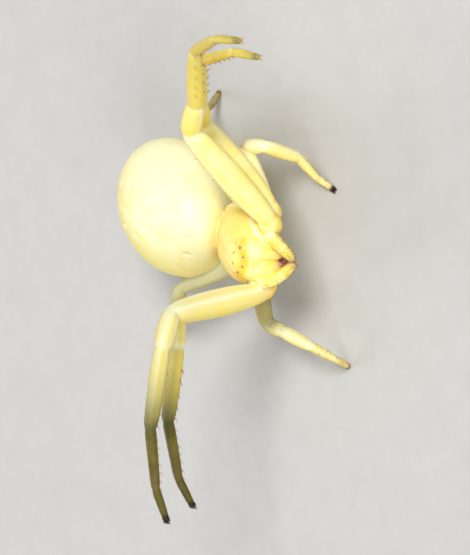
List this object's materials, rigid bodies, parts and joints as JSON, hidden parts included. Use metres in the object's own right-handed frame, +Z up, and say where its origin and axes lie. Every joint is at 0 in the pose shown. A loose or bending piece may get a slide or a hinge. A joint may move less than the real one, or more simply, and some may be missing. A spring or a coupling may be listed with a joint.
{
  "type": "crab spider",
  "caption": "Crab spider, a still life-size model that stands on its hind legs with the long front legs held wide open and a big egg-shaped abdomen.",
  "frame": {"origin": "centre of the bounding box, on the floor plane that the four standing feet share", "axes": "+Z up, +X to the spider's left, -Y the way it faces"},
  "size_m": [0.0192, 0.0118, 0.0097],
  "materials": {
    "cuticle_yellow": "smooth waxy yellow cuticle",
    "abdomen_cream": "fine-grained soft skin, cream to yellow",
    "leg_yellow": "smooth translucent yellow cuticle",
    "foot_amber": "brownish cuticle, bristly, dark at the claws",
    "eye_brown": "glossy dark dome",
    "fang_maroon": "glossy dark maroon"
  },
  "bodies": {
    "root": {"carapace": "cuticle_yellow", "abdomen": "abdomen_cream", "pedicel": "cuticle_yellow", "spinnerets": "cuticle_yellow", "chelicera_left": "cuticle_yellow", "fang_left": "fang_maroon", "palp_left_base": "cuticle_yellow", "palp_left_tip": "cuticle_yellow", "front_inner_eye_left": "eye_brown", "front_outer_eye_left": "eye_brown", "rear_inner_eye_left": "eye_brown", "rear_outer_eye_left": "eye_brown", "leg_left_1_coxa": "leg_yellow", "leg_left_1_femur": "leg_yellow", "leg_left_1_tibia": "leg_yellow", "leg_left_1_foot": "foot_amber", "leg_left_2_coxa": "leg_yellow", "leg_left_2_femur": "leg_yellow", "leg_left_2_tibia": "leg_yellow", "leg_left_2_foot": "foot_amber", "leg_left_3_coxa": "leg_yellow", "leg_left_3_femur": "leg_yellow", "leg_left_3_tibia": "leg_yellow", "leg_left_3_foot": "foot_amber", "leg_left_4_coxa": "leg_yellow", "leg_left_4_femur": "leg_yellow", "leg_left_4_tibia": "leg_yellow", "leg_left_4_foot": "foot_amber", "chelicera_right": "cuticle_yellow", "fang_right": "fang_maroon", "palp_right_base": "cuticle_yellow", "palp_right_tip": "cuticle_yellow", "front_inner_eye_right": "eye_brown", "front_outer_eye_right": "eye_brown", "rear_inner_eye_right": "eye_brown", "rear_outer_eye_right": "eye_brown", "leg_right_1_coxa": "leg_yellow", "leg_right_1_femur": "leg_yellow", "leg_right_1_tibia": "leg_yellow", "leg_right_1_foot": "foot_amber", "leg_right_2_coxa": "leg_yellow", "leg_right_2_femur": "leg_yellow", "leg_right_2_tibia": "leg_yellow", "leg_right_2_foot": "foot_amber", "leg_right_3_coxa": "leg_yellow", "leg_right_3_femur": "leg_yellow", "leg_right_3_tibia": "leg_yellow", "leg_right_3_foot": "foot_amber", "leg_right_4_coxa": "leg_yellow", "leg_right_4_femur": "leg_yellow", "leg_right_4_tibia": "leg_yellow", "leg_right_4_foot": "foot_amber"}
  },
  "joints": []
}
